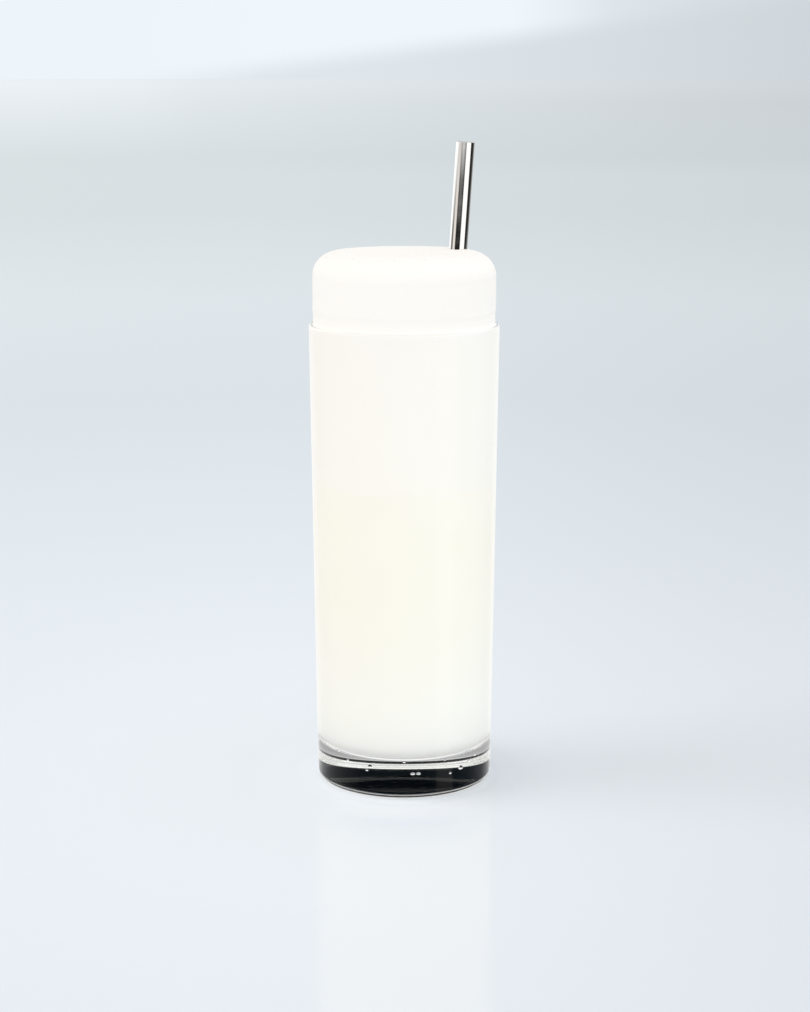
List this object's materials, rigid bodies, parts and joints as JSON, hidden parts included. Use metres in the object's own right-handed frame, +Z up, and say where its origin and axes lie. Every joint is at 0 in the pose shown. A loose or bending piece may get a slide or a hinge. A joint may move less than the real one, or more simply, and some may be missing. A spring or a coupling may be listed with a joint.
{
  "type": "glass of gin fizz",
  "caption": "Tall clear tumbler with a thick foot, filled with a pale creamy drink under a stiff white foam head that stands above the rim, with a leaning steel straw.",
  "frame": {"origin": "on the tumbler's axis, on the surface that its base ring stands on", "axes": "+Z up along the tumbler's axis; the straw stands to the +X and +Y side of the axis and leans outwards, 3.8 degrees towards +X and 2.5 degrees towards +Y"},
  "size_m": [0.0604, 0.0604, 0.2057],
  "materials": {
    "glass": "clear pressed and fire-polished soda-lime glass",
    "drink": "cloudy cream liquid, opaque",
    "foam": "fine stiff white foam, matte",
    "straw": "polished stainless steel tube"
  },
  "bodies": {
    "root": {"glass": "glass", "drink": "drink", "foam": "foam", "straw": "straw"}
  },
  "joints": []
}
